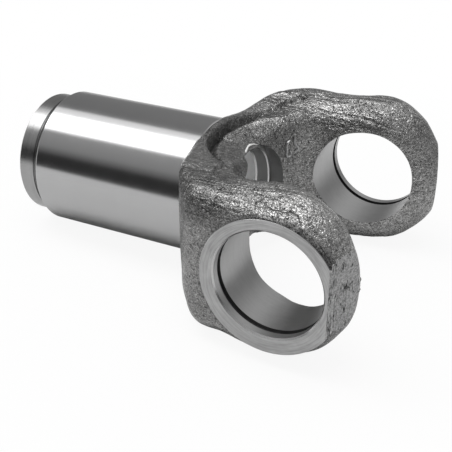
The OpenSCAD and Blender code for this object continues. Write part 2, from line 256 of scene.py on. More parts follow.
def base_line(angle, corner, turn, round_w, grow, fall, near):
    """The line over the fork's base in one direction of the fan, as x, y, half height and share."""
    s = (180 - angle) / 90
    c, n = math.cos(math.radians(angle)), math.sin(math.radians(angle))
    tilt = math.radians(SHOULDER_ANGLE)
    inner = (max(0, -c / (CROTCH_X + FAN_X)) ** CROTCH_POWER
             + (n / EAR_INNER) ** CROTCH_POWER) ** (-1 / CROTCH_POWER)
    shoulder = (math.cos(tilt) * n - math.sin(tilt) * c) / (math.sin(tilt) * (SHOULDER_CROSS + FAN_X))
    width = (max(0, -c / (BACK_X + FAN_X)) ** OUTLINE_POWER + shoulder ** OUTLINE_POWER
             + (n / FLANK_Y) ** OUTLINE_POWER) ** (-1 / OUTLINE_POWER) - inner
    blend = between(s, 0.5, 0.95)
    turned, grown = mix(corner, turn, between(s, 0.3, 0.55)), between(s, *grow)
    w, h = mix(turned, round_w, grown), mix(turned, ARM_ROUND_H, grown)
    depth = mix(CROTCH_ROUND, EAR_ROUND, blend)
    offset = FAN_X - RIM_CENTRE_X
    rim_reach = -offset * c + math.sqrt(RIM_R ** 2 - (offset * n) ** 2)
    if near:
        tight = between(s, 0.2, 0.35) * (1 - between(s, 0.62, 0.8))
        depth = mix(depth, min(depth, max(2.5, rim_reach - inner - 1.6)), tight)
    rim_from = max(rim_reach - inner, depth + (1 + RIM_STEP) / 2)
    slope_d = SLOPE_Y - EAR_INNER
    ends = mix(zone_ends(width, depth, rim_from, w),
               zone_ends(width, depth, slope_d - RIM_STEP, width - slope_d), blend)
    d, share = stops(ends)
    x, y = FAN_X + (inner + d) * c, (inner + d) * n
    half = mix(base_height(d, depth, rim_from, s, near), ear_height(d, x, fall), blend) \
        - outer_fall(x, y, width - d, w, h)
    return np.stack([x, y, half, share], 1)


def ear_line(x, round_w, fall):
    """The line over an ear at one x."""
    along = max(0, x) * EAR_R / EAR_REACH
    reach = math.hypot(along, EDGE_HALF) if x > 0 else 0
    inside = EAR_INNER + EAR_INNER_SLOPE * max(0, x + 4)
    start = 0 if reach <= EAR_FLAT else EAR_ROUND - math.sqrt(EAR_ROUND ** 2 - (reach - EAR_FLAT) ** 2)
    y0 = inside + start
    drop = (EAR_R - reach) / EAR_SLOPE
    y1 = min(FLANK_Y, SLOPE_Y + drop - SLOPE_SOFT ** 2 / (4 * drop))
    width = max(EDGE_WIDTH, y1 - y0)
    whole, slope_d = FLANK_Y - inside, SLOPE_Y - inside
    ends = width * mix(zone_ends(whole, EAR_ROUND, slope_d - RIM_STEP, whole - slope_d) / whole,
                       np.array([0, 0.3, 0.45, 0.65, 0.8, 1]), between(x, 2, 14))
    d, share = stops(ends)
    y = y0 + d
    r = ear_height(y - inside, x, fall) - outer_fall(x, y, FLANK_Y - y, round_w, ARM_ROUND_H)
    half = np.sqrt(np.maximum(EDGE_HALF ** 2, r * r - along * along)) if x > 0 else r
    return np.stack([np.full_like(d, x), y, half, share], 1)


def place(line, side, share):
    """Points of a station's line on the upper side (1), the lower (-1) or the middle (0)."""
    x, y, half = line[..., 0], line[..., 1], line[..., 2]
    middle = mix(-FORGING_DROP, TIP_RISE, between(x, -RISE_BLEND_X, RISE_BLEND_X))
    return np.stack([x, y + share * EAR_DRAFT * np.abs(side) * half * np.minimum(1, y / EAR_INNER),
                     side * half + middle], -1)


def ring(line, low):
    """A closed section: over the top, down the flank, back under the bottom, up the inner face."""
    top, under = place(line, 1, 1 - line[:, 3]), place(low, -1, 1 - low[:, 3])
    middle = place(line[:1], 0, 1)
    flank = [mix(top[-1], under[-1], t) for t in np.arange(1, FLANK_POINTS) / FLANK_POINTS]
    steps = (np.arange(1, INSIDE_POINTS + 1) / INSIDE_POINTS)[:, None]
    return np.concatenate([top, flank, under[::-1], mix(under[:1], middle, steps),
                           mix(middle, top[:1], steps[:-1])])


def base_ring(angle, near=False):
    """The section in one direction of the fan. The near side's rim stands closer."""
    over = base_line(angle, SHOULDER_ROUND, TURN_ROUND, ARM_ROUND, (0.55, 1), ARM_FALL, near)
    under = base_line(angle, SHOULDER_ROUND_LOW, SHOULDER_ROUND_LOW, ARM_ROUND_LOW, (0.1, 0.7), ARM_RISE,
                      False)
    return ring(over, under)


def ear_ring(x):
    """The section of an arm or ear at one x."""
    return ring(ear_line(x, ARM_ROUND, ARM_FALL), ear_line(x, ARM_ROUND_LOW, ARM_RISE))


def tip_inset(r, x):
    """The sheared tip's end keeps a worn edge: its last sections draw in a little."""
    t = np.clip((x - (EAR_REACH - TIP_MARGIN - TIP_WEAR)) / TIP_WEAR, 0, 1)
    inset = TIP_WEAR * (1 - math.sqrt(1 - t * t))
    middle = r.mean(axis=0)
    away = r - middle
    length = np.linalg.norm(away, axis=1, keepdims=True)
    return middle + away * np.maximum(0.3, 1 - inset / np.maximum(length, 1e-6))


def fork_grid():
    """Rows of points from one tip round the crotch to the other."""
    last = EAR_REACH - TIP_MARGIN
    ear = [ear_ring(x) for x in np.linspace(FAN_X, 0, ARM_STATIONS)[1:]]
    turns = np.linspace(0, math.asin(last / EAR_REACH), EAR_STATIONS)[1:]
    for x in EAR_REACH * np.sin(turns):
        ear.append(tip_inset(ear_ring(min(x, last)), min(x, last)))
    far, near = ([base_ring(180 - 90 * i / FAN_STATIONS, side) for i in range(1, FAN_STATIONS + 1)] + ear
                 for side in (False, True))
    return np.array([r * [1, -1, 1] for r in near[::-1]] + [base_ring(180)] + far)


def grid_normals(grid):
    """Which way is out, at each point of the grid."""
    along = np.gradient(grid, axis=0)
    across = (np.roll(grid, -1, axis=1) - np.roll(grid, 1, axis=1)) / 2
    out = np.cross(across, along)
    out /= np.maximum(np.linalg.norm(out, axis=-1, keepdims=True), 1e-9)
    centre = grid.mean(axis=1, keepdims=True)
    if np.sum(out * (grid - centre)) < 0:
        out = -out
    return out


EVEN_PASSES, EVEN_FROM, EVEN_TO = 6, 16, 19


def even_out(out, where):
    """The directions, averaged with their neighbours' where asked, since the tips' rows run together."""
    for _ in range(EVEN_PASSES):
        soft = out + np.roll(out, 1, 1) + np.roll(out, -1, 1)
        soft[1:-1] = soft[1:-1] + soft[:-2] + soft[2:]
        soft /= np.linalg.norm(soft, axis=2, keepdims=True)
        out = mix(out, soft, where)
    return out


def bump_at(points, middle, size, height):
    """A soft mound on the points within about size of the middle."""
    away = (points - np.array(middle)) / np.array(size)
    return height * np.exp(-np.sum(away * away, axis=-1))


# The skin's roughness: the size of each kind of form and its height
BROAD_LUMP, SMALL_LUMP, CRINKLE, FINE_CRINKLE = (14, 0.28), (6.5, 0.14), (2.6, 0.05), (1.5, 0.045)
BEND_SIZE, BEND, FOLD_SIZE, FOLD_HEIGHT = 4, 1.2, 3.4, 0.10
PIT_SIZE, PIT_LEVEL, PIT_DEPTH, TIP_CALM = 1.7, 0.45, 0.22, 0.85


def layer(noise, points, form):
    """One noise over the points at a form's size and height."""
    size, height = form
    return noise(points, size) * height


def forged_skin(grid):
    """The points moved along their normals as rough forging leaves them."""
    shape = grid.shape
    out = even_out(grid_normals(grid), between(grid[..., :1], EVEN_FROM, EVEN_TO)).reshape(-1, 3)
    p = grid.reshape(-1, 3)
    lumps, crinkle, pits = Lumps(11), Lumps(23), Lumps(37)
    low = layer(lumps, p, BROAD_LUMP) + layer(lumps, p + 50, SMALL_LUMP)
    bent = p + BEND * np.stack([crinkle(p + shift, BEND_SIZE) for shift in (9, 19, 29)], 1)
    folds = 1 - np.abs(crinkle(bent, FOLD_SIZE)) * 2
    fine = layer(crinkle, bent + 70, FINE_CRINKLE) + layer(crinkle, bent + 90, CRINKLE)
    band = round_band(p)
    height = low + fine * (1 + band) + band * folds * FOLD_HEIGHT
    height -= PIT_DEPTH * np.maximum(0, pits(p, PIT_SIZE) - PIT_LEVEL) * (1 - 0.5 * band)
    height *= 1 - TIP_CALM * between(p[:, 0], 18, 20.5)
    height += local_forms(p)
    height -= pad_trench(p)
    flat = between(np.abs(p[:, 1]), FLANK_Y - 1.2, FLANK_Y - 0.1)
    height = mix(height, fine * 0.8 - FLANK_SINK, flat)
    moved = p + out * height[:, None]
    moved[:, 2] = np.clip(moved[:, 2], solid_box[0].z / MM + SKIN_GAP, solid_box[1].z / MM - SKIN_GAP)
    reach = np.where(moved[:, 1] < 0, NEAR_REACH, solid_box[1].x / MM - SKIN_GAP)
    moved[:, 0] = np.minimum(moved[:, 0], reach)
    moved[:, 1] = np.clip(moved[:, 1], -FLANK_Y + FLANK_GAP, FLANK_Y - FLANK_GAP)
    return moved.reshape(shape)


TRENCH_AT, TRENCH_W, TRENCH_DEPTH, TRENCH_DEEPER = 0.7, 1.1, 0.35, 0.6


def pad_trench(p):
    """The depth of the groove round a milled face, deepest above the tip."""
    beside = np.hypot(p[:, 0], p[:, 2] + FORGING_DROP) - PAD_R
    above_tip = np.exp(-((p[:, 0] - 12.5) / 5) ** 2 - ((p[:, 2] - 13) / 6) ** 2)
    on_flank = between(np.abs(p[:, 1]), 37, 42)
    depth = TRENCH_DEPTH + TRENCH_DEEPER * above_tip
    return on_flank * np.exp(-((beside - TRENCH_AT) / TRENCH_W) ** 2) * depth


def round_band(p):
    """How far a point lies on the long rounding inside the arms and ears, 0 to 1."""
    top = np.abs(p[:, 2] + FORGING_DROP * 0.5)
    y = np.abs(p[:, 1])
    inside = between(y, 22, 25) * (1 - between(y, 30.5, 34))
    return inside * between(top, 12, 16) * between(p[:, 0], -32, -24)


# Soft mounds and hollows, each with its middle, its size and its height
TOP_FORMS = [
    ((-30, 31, 24), (7, 7, 9), 0.9),  # crest over the far arm
    ((-38, 2, 19), (2, 8, 6), 1.3),  # rim beside the barrel
    ((-38.5, -13, 20), (3, 4, 5), -0.5),  # near corner, beside the barrel
    ((-37.5, -25, 20), (5, 7, 7), -1.4),  # near corner, outside
]
SIDE_FORMS = [
    ((-25, -8.5, 12.5), (4, 5.5, 5), 1.9),  # lip that hides the seat's near side
    ((-20.6, 17.6, 9.8), (3, 3, 4.5), 0.25),  # swelling under the curls
    ((18, -35, -14), (6, 14, 7), -0.9),  # near ear, below the tip
    ((22, -32, 2), (6, 12, 12), -0.6),  # near tip
    ((-26.5, -38.5, -18), (4, 7, 5), -1.3),  # near arm's lower corner
    ((-15, -41, -19), (5, 6, 5), -0.5),  # near arm's lower edge
    ((-37, -29, -3), (6, 7, 12), 0.8),  # near shoulder
    ((10, 28, -20), (8, 10, 8), 1.7),  # far ear, lower right
    ((20, 31, -8), (7, 9, 9), 0.8),  # far tip, below
    ((18, 38, 12), (6, 8, 6), -0.5),  # far tip, above
    ((3, 36, 23), (10, 8, 5), 0.35),  # far ear's top
]

# Thin flash lines along the far arm: both ends seen from above, and the height
FLASH_LINES = [((-31.4, 28.5), (-13, 33.6), 0.55), ((-9.6, 32.7), (0.4, 32), 0.4)]
RIDGE_W = 0.35


def local_forms(p):
    """Where this forging differs from side to side."""
    on_top = sum(bump_at(p, *form) for form in TOP_FORMS) + sum(ridge(p, *line) for line in FLASH_LINES)
    return on_top * between(p[:, 2], 10, 18) + sum(bump_at(p, *form) for form in SIDE_FORMS)


def ridge(p, start, end, height):
    """A thin low ridge over the line from start to end, seen from above."""
    start, run = np.array(start), np.array(end) - np.array(start)
    t = np.clip((p[:, :2] - start) @ run / (run @ run), 0, 1)
    off = p[:, :2] - start - t[:, None] * run
    return height * np.exp(-np.sum(off * off, axis=1) / RIDGE_W ** 2) * (1 - (2 * t - 1) ** 6)


# The meshes

# Small breaks of edges, and how far pieces and cutters reach past what they meet
BARREL_INSET, BARREL_BEVEL, EDGE_BREAK, SEAT_BREAK = 1.1, 0.3, 0.12, 0.35
PAD_ROOT, PAD_BREAK, CUTTER_R = 3.5, 0.14, 90

# The finishes' slots
FORGED, MILLED, BORE, SHEARED, GROUND, SATIN, TURNED, INSIDE, EDGE, BRIGHT = range(10)


def new_mesh(name, points, faces, slots):
    """An object with all of the yoke's finishes, and each face's slot."""
    data = bpy.data.meshes.new(name)
    data.from_pydata([tuple(p) for p in points], [], [tuple(int(i) for i in f) for f in faces])
    for material in YOKE_FINISHES:
        data.materials.append(material)
    data.polygons.foreach_set("material_index", np.broadcast_to(slots, len(data.polygons)).astype(np.int32))
    data.update()
    return placed(name, data)


def sleeve(rows, count, closed=False):
    """Faces between rings of points. A closed one goes from the last ring to the first again."""
    return [(i * count + j, i * count + (j + 1) % count,
             (i + 1) % rows * count + (j + 1) % count, (i + 1) % rows * count + j)
            for i in range(rows if closed else rows - 1) for j in range(count)]


def outward(points, faces):
    """The faces turned so that a closed shape's normals point out."""
    p = np.asarray(points, float)
    volume = 0.0
    for f in faces:
        a = p[f[0]]
        for i in range(1, len(f) - 1):
            volume += np.dot(a, np.cross(p[f[i]], p[f[i + 1]]))
    return faces if volume > 0 else [tuple(reversed(f)) for f in faces]


def forging():
    """The fork as forged, from tip to tip, closed at both ends."""
    grid = forged_skin(fork_grid())
    rows, count = grid.shape[:2]
    points = grid.reshape(-1, 3)
    faces = sleeve(rows, count)
    for row, side in ((0, 1), (rows - 1, -1)):
        middle = len(points)
        points = np.concatenate([points, grid[row].mean(axis=0)[None]])
        first = row * count
        faces += [(first + j, middle, first + (j + 1) % count)[::side] for j in range(count)]
    top = rows // 2
    a, b, c = grid[top, 10], grid[top, 20], grid[top + 1, 10]
    if np.cross(b - a, c - a)[2] < 0:
        faces = [tuple(reversed(f)) for f in faces]
    return new_mesh("forging", points, faces, FORGED)


def revolved(name, profile, slots, along="x", segments=SEGMENTS, shift=(0, 0, 0)):
    """A closed shape turned about an axis.

    The profile runs from axis to axis as position and radius, and each stretch of it has the
    slot of its finish.
    """
    turn = 2 * np.pi * np.arange(segments) / segments
    points, starts = [], []
    for position, radius in profile:
        starts.append(len(points))
        for t in turn if radius > 0 else [0.0]:
            ring_point = (radius * math.cos(t), radius * math.sin(t))
            across, up = ring_point
            points.append((position, across, up) if along == "x" else (across, position, up))
    faces, face_slots = [], []
    for i in range(len(profile) - 1):
        a, b = starts[i], starts[i + 1]
        for k in range(segments):
            n = (k + 1) % segments
            if profile[i][1] > 0 and profile[i + 1][1] > 0:
                face = (a + k, a + n, b + n, b + k)
            elif profile[i][1] > 0:
                face = (a + k, a + n, b)
            else:
                face = (a, b + n, b + k)
            faces.append(face)
            face_slots.append(slots[i])
    points = np.array(points) + np.array(shift)
    return new_mesh(name, points, outward(points, faces), face_slots)


def barrel_blank():
    """The barrel without its bore. It starts inside the fork, and steps down to the lip."""
    cone = BARREL_X + LEAD_IN
    start = BARREL_INSET - SHOULDER_X
    profile = [
        (start, 0), (start, BARREL_R - BARREL_BEVEL), (start - BARREL_BEVEL, BARREL_R),
        (-BARREL_X + EDGE_BREAK, BARREL_R), (-BARREL_X - 0.1, BARREL_R - EDGE_BREAK),
        (-cone, LIP_R), (-cone, LIP_R - RELIEF_DEPTH), (-cone - RELIEF_W, LIP_R - RELIEF_DEPTH),
        (-cone - RELIEF_W, LIP_R), (-LIP_END + LIP_CHAMFER, LIP_R), (-LIP_END, LIP_R - LIP_CHAMFER),
        (-LIP_END, 0)]
    return revolved("barrel_blank", profile, [TURNED, EDGE, GROUND, EDGE] + [SATIN] * 7,
                    segments=BARREL_SEGMENTS)


def shoulder_cut():
    """The cutter that faces the fork's back round the barrel."""
    back = -BACK_X - 1
    profile = [(-SHOULDER_X, BARREL_R - 1), (-SHOULDER_X, CUTTER_R), (back, CUTTER_R), (back, BARREL_R - 1)]
    turn = 2 * np.pi * np.arange(SEGMENTS) / SEGMENTS
    points = [(x, r * math.cos(t), r * math.sin(t)) for x, r in profile for t in turn]
    faces = sleeve(len(profile), SEGMENTS, closed=True)
    return new_mesh("shoulder_cut", points, outward(points, faces), TURNED)


def pad(side):
    """The raised round land outside an ear, milled flat."""
    root, edge = FACE_Y - PAD_ROOT, FACE_Y - PAD_BREAK
    profile = [(root, 0), (root, PAD_R), (edge, PAD_R), (FACE_Y, PAD_R - PAD_BREAK), (FACE_Y, 0)]
    return revolved("pad", [(side * y, r) for y, r in profile], [FORGED, EDGE, EDGE, MILLED], along="y",
                    segments=PAD_SEGMENTS, shift=(0, 0, -FORGING_DROP))


def barrel_bores():
    """The cutter for all that is bored along the barrel: mouth, spline's bore, plug's seat, clearance."""
    end, mouth, seat = LIP_END + 1, -LIP_END + MOUTH_DEPTH, -PLUG_X - PLUG_THICKNESS
    profile = [
        (-end, 0), (-end, MOUTH_R + MOUTH_CHAMFER + 1), (-LIP_END + MOUTH_CHAMFER, MOUTH_R),
        (mouth, MOUTH_R), (mouth, TOOTH_TIP_R), (seat, TOOTH_TIP_R), (seat, PLUG_R),
        (-CLEARANCE_X - SEAT_BREAK, PLUG_R), (-CLEARANCE_X, PLUG_R + SEAT_BREAK), (-CLEARANCE_X, CLEARANCE_R),
        (0, CLEARANCE_R), (0, 0)]
    return revolved("barrel_bores", profile,
                    [INSIDE, SATIN, INSIDE, INSIDE, INSIDE, INSIDE, TURNED, EDGE, TURNED, TURNED, TURNED])


def spline_spaces():
    """The spaces between the spline's teeth, as straight bars round the bore."""
    points, faces = [], []
    pitch = 2 * math.pi / TEETH
    root, tip = pitch * TOOTH_SPACE / 4, pitch * TOOTH_SPACE / 2
    corners = ((TOOTH_TIP_R - 1, -tip), (TOOTH_ROOT_R, -root), (TOOTH_ROOT_R, root), (TOOTH_TIP_R - 1, tip))
    for tooth in range(TEETH):
        first = len(points)
        for x in (-LIP_END + MOUTH_DEPTH - 0.5, -PLUG_X):
            for r, turn in corners:
                a = tooth * pitch + turn
                points.append((x, r * math.cos(a), r * math.sin(a)))
        space = [(0, 1, 2, 3), (7, 6, 5, 4)] + [(k, k + 4, (k + 1) % 4 + 4, (k + 1) % 4) for k in range(4)]
        faces += [tuple(first + i for i in f) for f in space]
    return new_mesh("spline_spaces", points, outward(points, faces), INSIDE)


def cup_bore(side):
    """The cutter for a bearing bore with its snap ring groove and the chamfer at its face."""
    out = CUP_SEAT + GROOVE_W
    profile = [
        (0, 0), (0, CUP_R), (CUP_SEAT, CUP_R), (CUP_SEAT, CUP_R + GROOVE_DEPTH), (out, CUP_R + GROOVE_DEPTH),
        (out, CUP_R), (FACE_Y - CUP_CHAMFER, CUP_R), (FACE_Y + 1, CUP_R + CUP_CHAMFER + 1), (FACE_Y + 1, 0)]
    return revolved("cup_bore", [(side * y, r) for y, r in profile],
                    [BORE, BORE, INSIDE, INSIDE, INSIDE, BORE, EDGE, BORE], along="y")


TORN_STEP, CUTTER_DEPTH = 0.42, 30.0


def torn_surface(inward, z, side):
    """How far the sheared face stands out at points on it: torn outside, smoother inside."""
    p = np.stack([inward, z * 0.35, np.full_like(z, side * 20.0)], 1)
    fine, long = Lumps(51), Lumps(61)
    torn = 1 - between(inward, 1.0, 2.6)
    groove = np.maximum(0, fine(p * [1, 1.6, 1] + 40, 1.1) - 0.25)
    lip = np.exp(-((inward - 1.9 - 0.5 * long(p + 8, 4)) / 0.5) ** 2)
    inner = between(np.abs(z + 1), 15, 11) * between(inward, 14, 9)
    rough = long(p, 3.2) * 0.1 + fine(p, 0.8) * (0.03 + 0.07 * torn)
    return inner * (rough - 0.34 * torn * groove - 0.22 * lip * (z > -6))


def tip_block(side):
    """The cutter that leaves the tip's slanted face."""
    across, up = np.arange(-18, 24.01, TORN_STEP), np.arange(-22, 22.01, TORN_STEP)
    inward, z = (g.ravel() for g in np.meshgrid(across, up, indexing="ij"))
    points = [(h, -side * i, k) for h, i, k in zip(torn_surface(inward, z, side), inward, z)]
    rows, count = len(across), len(up)
    faces = [(i * count + j, (i + 1) * count + j, (i + 1) * count + j + 1, i * count + j + 1)
             for i in range(rows - 1) for j in range(count - 1)]
    edge = [i * count for i in range(rows)] + [(rows - 1) * count + j for j in range(1, count)] \
        + [i * count + count - 1 for i in range(rows - 2, -1, -1)] + list(range(count - 2, 0, -1))
    back = len(points)
    points += [(CUTTER_DEPTH, *points[i][1:]) for i in edge]
    total = len(edge)
    faces += [(edge[k], back + k, back + (k + 1) % total, edge[(k + 1) % total]) for k in range(total)]
    faces.append(tuple(back + k for k in reversed(range(total))))
    turn = Matrix.Rotation(math.radians(side * TIP_ANGLE), 3, "Z")
    points = np.array([turn @ Vector(c) + Vector((TIP_X, side * FACE_Y, 0)) for c in points])
    return new_mesh("tip_block", points, outward(points, faces), SHEARED)


def burr():
    """The curl of steel that the seat's cutter left on the crotch."""
    return curl("burr", [(-26.5, -3.2, 13.2), (-26.7, -2.4, 13.9), (-27.1, -0.5, 14.4), (-27.5, 1.2, 14.7),
                         (-27.5, 2.6, 14.7), (-27.1, 4.0, 14.5), (-26.6, 5.2, 14.0), (-26.3, 6.4, 13.5)],
                [0.06, 0.16, 0.24, 0.2, 0.3, 0.2, 0.16, 0.06], BRIGHT)


def scale_curls():
    """Two curled beads of scale beside the seat."""
    left = [(-20.9, 16.9, 12.0), (-21.4, 16.1, 11.6), (-21.6, 15.7, 10.6), (-21.5, 15.8, 9.2),
            (-21.5, 15.6, 8.0), (-21.4, 15.9, 7.0), (-21.1, 16.8, 6.5), (-20.7, 17.6, 7.1),
            (-20.7, 17.4, 8.1), (-20.9, 16.8, 8.8)]
    right = [(-20.1, 18.5, 12.7), (-20.1, 18.4, 11.5), (-19.9, 18.9, 10.3), (-19.5, 19.7, 9.1),
             (-19.6, 19.5, 8.1), (-20.0, 18.8, 7.5)]
    return [curl("left_curl", left, [0.3, 0.45, 0.42, 0.5, 0.35, 0.55, 0.45, 0.4, 0.45, 0.3], MILLED),
            curl("right_curl", right, [0.2, 0.35, 0.4, 0.5, 0.4, 0.25], MILLED)]


CURL_SIDES, CURL_WIDTH = 8, 1.4


def curl(name, path, thick, slot):
    """A bead along a path, with its own half thickness at each point."""
    path = np.array(path)
    run = np.gradient(path, axis=0)
    turn = 2 * np.pi * np.arange(CURL_SIDES) / CURL_SIDES
    points = []
    for at, way, r in zip(path, run, thick):
        a = np.cross(way, (1, 0, 0))
        a /= np.linalg.norm(a)
        b = np.cross(way, a) / np.linalg.norm(way)
        points += [at + r * (math.cos(t) * a + CURL_WIDTH * math.sin(t) * b) for t in turn]
    last = (len(path) - 1) * CURL_SIDES
    faces = sleeve(len(path), CURL_SIDES)
    faces += [tuple(reversed(range(CURL_SIDES))), tuple(range(last, last + CURL_SIDES))]
    return new_mesh(name, points, outward(np.array(points), faces), slot)


def apply_boolean(target, tool, operation):
    """Join the tool to the target or cut it away, and drop the tool."""
    modifier = target.modifiers.new(operation, "BOOLEAN")
    modifier.operation = operation
    modifier.solver = "MANIFOLD"
    modifier.object = tool
    graph = bpy.context.evaluated_depsgraph_get()
    made = bpy.data.meshes.new_from_object(target.evaluated_get(graph))
    target.modifiers.clear()
    before, target.data = target.data, made
    bpy.data.meshes.remove(before)
    bpy.data.objects.remove(tool)


def finish_mesh(made, limit):
    """To metres, smooth, with sharp edges where the finish changes or machined faces meet."""
    data = made.data
    data.transform(Matrix.Scale(MM, 4))
    edges = bmesh.new()
    edges.from_mesh(data)
    edges.faces.ensure_lookup_table()
    for face in edges.faces:
        face.smooth = True
    for edge in edges.edges:
        if len(edge.link_faces) != 2:
            continue
        a, b = edge.link_faces
        machined = a.material_index != FORGED or b.material_index != FORGED
        edge.smooth = not (a.material_index != b.material_index
                           or machined and edge.calc_face_angle(0.0) > math.radians(limit))
    edges.to_mesh(data)
    edges.free()


YOKE_CREASE, PLUG_CREASE = 20, 40


def make_yoke():
    """The yoke: the forging, faced and joined to its barrel and lands, then bored, splined and trimmed."""
    yoke = forging()
    apply_boolean(yoke, shoulder_cut(), "DIFFERENCE")
    for tool in (pad(-1), pad(1), barrel_blank()):
        apply_boolean(yoke, tool, "UNION")
    for tool in (barrel_bores(), spline_spaces(), cup_bore(-1), cup_bore(1), tip_block(-1), tip_block(1)):
        apply_boolean(yoke, tool, "DIFFERENCE")
    for bead in (burr(), *scale_curls()):
        apply_boolean(yoke, bead, "UNION")
    yoke.name = yoke.data.name = "forged_yoke"
    finish_mesh(yoke, YOKE_CREASE)
    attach(yoke, "root")
    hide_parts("yoke")
    return yoke


PLUG_GAP, PLUG_RIM, DOME_RINGS = 0.05, 0.5, 24


def make_plug():
    """The pressed sheet plug, with its dome and a raised rim."""
    dome_r = (PLUG_R ** 2 + PLUG_DOME ** 2) / (2 * PLUG_DOME)
    rim, back = PLUG_R - PLUG_GAP, -PLUG_X - PLUG_THICKNESS
    profile = [(back, 0), (back, rim), (-PLUG_X + 0.45, rim),
               (-PLUG_X + PLUG_RIM, rim - 0.05), (-PLUG_X + 0.05, rim - PLUG_RIM)]
    for i in range(1, DOME_RINGS + 1):
        r = (rim - PLUG_RIM) * (1 - i / DOME_RINGS)
        height = PLUG_DOME - dome_r + math.sqrt(dome_r ** 2 - r * r)
        profile.append((-PLUG_X + height, r if i < DOME_RINGS else 0))
    slots = [0] * (len(profile) - 1)
    slots[2] = slots[3] = 1
    plug = revolved("crotch_plug", profile, slots)
    plug.data.materials.clear()
    for material in (plug_steel(), YOKE_FINISHES[EDGE]):
        plug.data.materials.append(material)
    plug.data.polygons.foreach_set("material_index", np.repeat(slots, SEGMENTS).astype(np.int32))
    finish_mesh(plug, PLUG_CREASE)
    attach(plug, "root")
    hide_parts("bore_plug")
    return plug


# The finishes

class Value:
    """An output socket that can be used in sums."""

    def __init__(self, finish, socket):
        self.finish, self.socket = finish, socket

    def _math(self, operation, *values):
        return self.finish.add("ShaderNodeMath", {"operation": operation}, dict(enumerate(values)))

    def __add__(self, other): return self._math("ADD", self, other)
    def __radd__(self, other): return self._math("ADD", other, self)
    def __sub__(self, other): return self._math("SUBTRACT", self, other)
    def __rsub__(self, other): return self._math("SUBTRACT", other, self)
    def __mul__(self, other): return self._math("MULTIPLY", self, other)
    def __rmul__(self, other): return self._math("MULTIPLY", other, self)
    def __abs__(self): return self._math("ABSOLUTE", self)
    def at_least(self, other): return self._math("MAXIMUM", self, other)
    def wave(self): return self._math("SINE", self)
    def root(self): return self._math("SQRT", self)

    def rises(self, start, end):
        """0 below start, 1 above end, smooth between. Start may be the larger one."""
        return self.finish.add("ShaderNodeMapRange", {"interpolation_type": "SMOOTHSTEP"},
                               {"Value": self, "From Min": start, "From Max": end})

    def line(self, thin, wide):
        """1 where the value is within thin of 0, and 0 where it is beyond wide."""
        return 1 - abs(self).rises(thin, wide)


def distance(a, b):
    """How far a point is from an axis, from its two sizes across it."""
    return (a * a + b * b).root()


def varied(level, *swings):
    """The level, which swings with each noise about its middle by that noise's share."""
    share = 1
    for amount, noise in swings:
        share = share + amount * (noise - 0.5)
    return level * share


class Finish:
    """A material's or the world's nodes."""

    def __init__(self, owner):
        owner.use_nodes = True
        self.owner, self.tree = owner, owner.node_tree
        self.tree.nodes.clear()

    def add(self, kind, settings=None, inputs=None, out=0):
        """A node with its settings, a ramp's stops among them, and its inputs' values or links."""
        node = self.tree.nodes.new(kind)
        for name, value in (settings or {}).items():
            if name == "stops":
                ramp = node.color_ramp
                while len(ramp.elements) < len(value):
                    ramp.elements.new(0.5)
                for element, (position, grey) in zip(ramp.elements, value):
                    element.position = position
                    element.color = (grey, grey, grey, 1)
            else:
                setattr(node, name, value)
        for name, value in (inputs or {}).items():
            socket = node.inputs[name]
            if isinstance(value, Value):
                self.tree.links.new(value.socket, socket)
            else:
                socket.default_value = value
        return Value(self, node.outputs[out])

    def place(self):
        """The point on the object in millimetres."""
        at = self.add("ShaderNodeTexCoord", out="Object")
        return self.add("ShaderNodeVectorMath", {"operation": "SCALE"}, {0: at, "Scale": 1 / MM})

    def moved(self, at, stretch=(1, 1, 1), shift=(0, 0, 0)):
        """The point, stretched and shifted."""
        return self.add("ShaderNodeMapping", None, {"Vector": at, "Scale": stretch, "Location": shift})

    def split(self, at):
        """A point's x, y and z."""
        parts = self.add("ShaderNodeSeparateXYZ", None, {0: at}).socket.node
        return [Value(self, parts.outputs[i]) for i in range(3)]

    def noise(self, at, size, detail=3, rough=0.55, bend=0):
        """Soft noise about 0.5, with features of that size in millimetres."""
        return self.add("ShaderNodeTexNoise", None, {"Vector": at, "Scale": 1 / size, "Detail": detail,
                                                     "Roughness": rough, "Distortion": bend})

    def grey(self, value, tint=(1, 1, 1)):
        """A value as a colour of that tint."""
        return self.add("ShaderNodeVectorMath", {"operation": "MULTIPLY"}, {
            0: self.add("ShaderNodeCombineXYZ", None, {0: value, 1: value, 2: value}), 1: tint})

    def metal(self, colour, roughness, metallic=1.0, relief=None, depth=0.1):
        """A metal surface. The relief's height is in millimetres."""
        inputs = {"Base Color": colour, "Roughness": roughness, "Metallic": metallic}
        if relief is not None:
            inputs["Normal"] = self.add("ShaderNodeBump", None,
                                        {"Height": relief, "Distance": depth * MM, "Strength": 1.0})
        return self.close(self.add("ShaderNodeBsdfPrincipled", None, inputs))

    def close(self, surface, kind="ShaderNodeOutputMaterial"):
        """The last node, which shows the surface."""
        end = self.tree.nodes.new(kind)
        self.tree.links.new(surface.socket, end.inputs["Surface"])
        return self.owner


def new_finish(name):
    """A new material's nodes, and the point on its surface."""
    f = Finish(bpy.data.materials.new(name))
    return f, f.place()


# How light each steel is, as a linear grey
FORGED_GREY, MILLED_GREY, BORED_GREY, SHEARED_GREY, GROUND_GREY = 0.325, 0.375, 0.40, 0.31, 0.43
SATIN_GREY, TURNED_GREY, INSIDE_GREY, EDGE_GREY, PLUG_GREY = 0.33, 0.32, 0.16, 0.5, 0.85
# The burr's near-white colour is a painted glint on fresh steel
BURR_PAINTED_GLINT, FORGED_TINT, GROUND_TINT = (0.95, 0.95, 0.94, 1), (1, 0.995, 0.985), (1, 1, 1.005)


